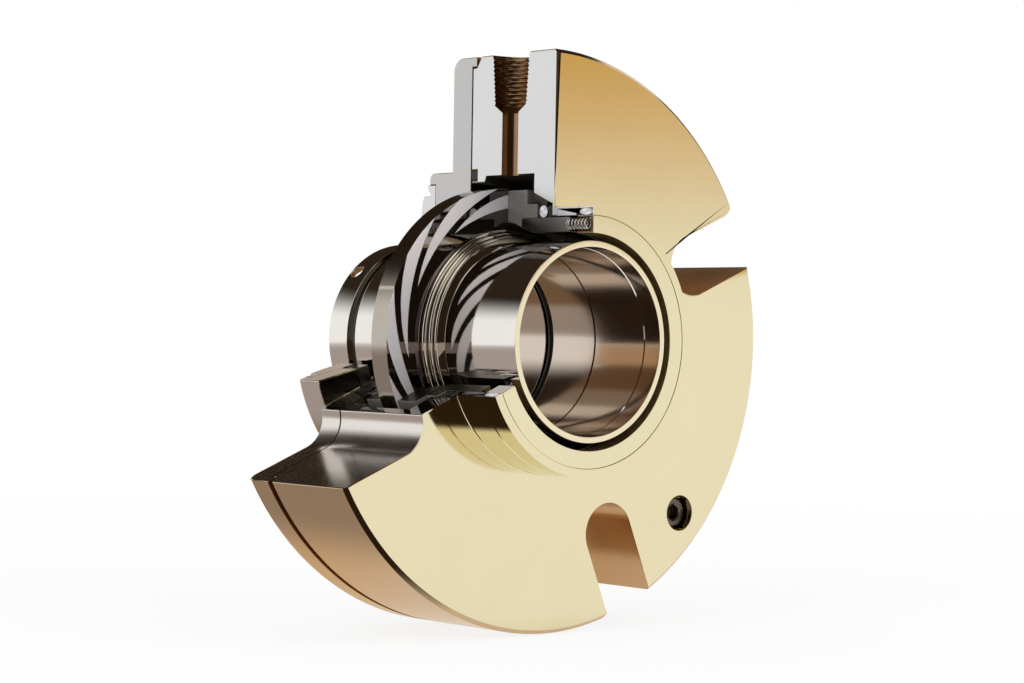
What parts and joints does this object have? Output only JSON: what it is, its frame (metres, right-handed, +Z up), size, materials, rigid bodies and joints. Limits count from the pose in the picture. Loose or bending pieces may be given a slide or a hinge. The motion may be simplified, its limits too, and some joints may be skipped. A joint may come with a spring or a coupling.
{
  "type": "mechanical seal",
  "caption": "Cutaway cartridge double gas seal: two-plate slotted gland with boss, spiral-grooved rotor ring on a shaft sleeve, and a sprung face ring on each side.",
  "frame": {"origin": "on the shaft axis, in the gland's flat face that lies against the machine", "axes": "Y along the shaft: +Y into the machine, -Y to the outboard end with the boss; +Z up, through the gas port in the upper cut face"},
  "size_m": [0.1763, 0.0955, 0.188],
  "materials": {
    "gland_steel": "polished stainless steel with a warm golden reflection",
    "adapter_steel": "polished stainless steel",
    "dark_steel": "blackened screw steel",
    "elastomer": "black fluoroelastomer",
    "carbon_graphite": "lapped carbon graphite",
    "holder_steel": "turned stainless steel",
    "backup_polymer": "filled polymer",
    "carrier_steel": "turned steel",
    "spring_alloy": "nickel alloy spring wire",
    "pin_steel": "ground dowel steel",
    "retainer_steel": "turned stainless steel",
    "sleeve_steel": "polished stainless steel",
    "silicon_carbide": "lapped silicon carbide with grey spiral grooves",
    "collar_steel": "polished stainless steel"
  },
  "bodies": {
    "gland": {"gland_plate": "gland_steel", "adapter_plate": "adapter_steel", "gland_screw": "dark_steel", "plate_o_ring": "elastomer", "outboard_end_ring": "gland_steel", "outboard_o_ring": "elastomer", "outboard_backup_ring": "backup_polymer", "outboard_cone_ring": "carrier_steel", "outboard_springs": "spring_alloy", "outboard_pins": "pin_steel", "inboard_retainer": "retainer_steel", "inboard_o_ring": "elastomer", "inboard_backup_ring": "backup_polymer", "inboard_cone_ring": "carrier_steel", "inboard_springs": "spring_alloy", "inboard_pins": "pin_steel"},
    "rotor": {"shaft_sleeve": "sleeve_steel", "rotor_ring": "silicon_carbide", "clamp_collar": "collar_steel", "rotor_seat_o_ring": "elastomer", "sleeve_bore_o_ring": "elastomer", "drive_keys": "pin_steel"},
    "outboard_ring": {"outboard_face_ring": "carbon_graphite", "outboard_holder": "holder_steel"},
    "inboard_ring": {"inboard_face_ring": "carbon_graphite", "inboard_holder": "holder_steel"}
  },
  "joints": [
    {"name": "rotor_spin", "type": "hinge", "parent": "gland", "child": "rotor", "pos_m": [0, 0, 0], "axis": [0, 1, 0], "continuous": true},
    {"name": "outboard_ring_slide", "type": "slide", "parent": "gland", "child": "outboard_ring", "axis": [0, -1, 0], "range_m": [0, 0.001], "stiffness_N_per_m": 2000, "springref_m": -0.003, "deforming": ["outboard_springs"]},
    {"name": "inboard_ring_slide", "type": "slide", "parent": "gland", "child": "inboard_ring", "axis": [0, 1, 0], "range_m": [0, 0.001], "stiffness_N_per_m": 2000, "springref_m": -0.003, "deforming": ["inboard_springs"]}
  ]
}
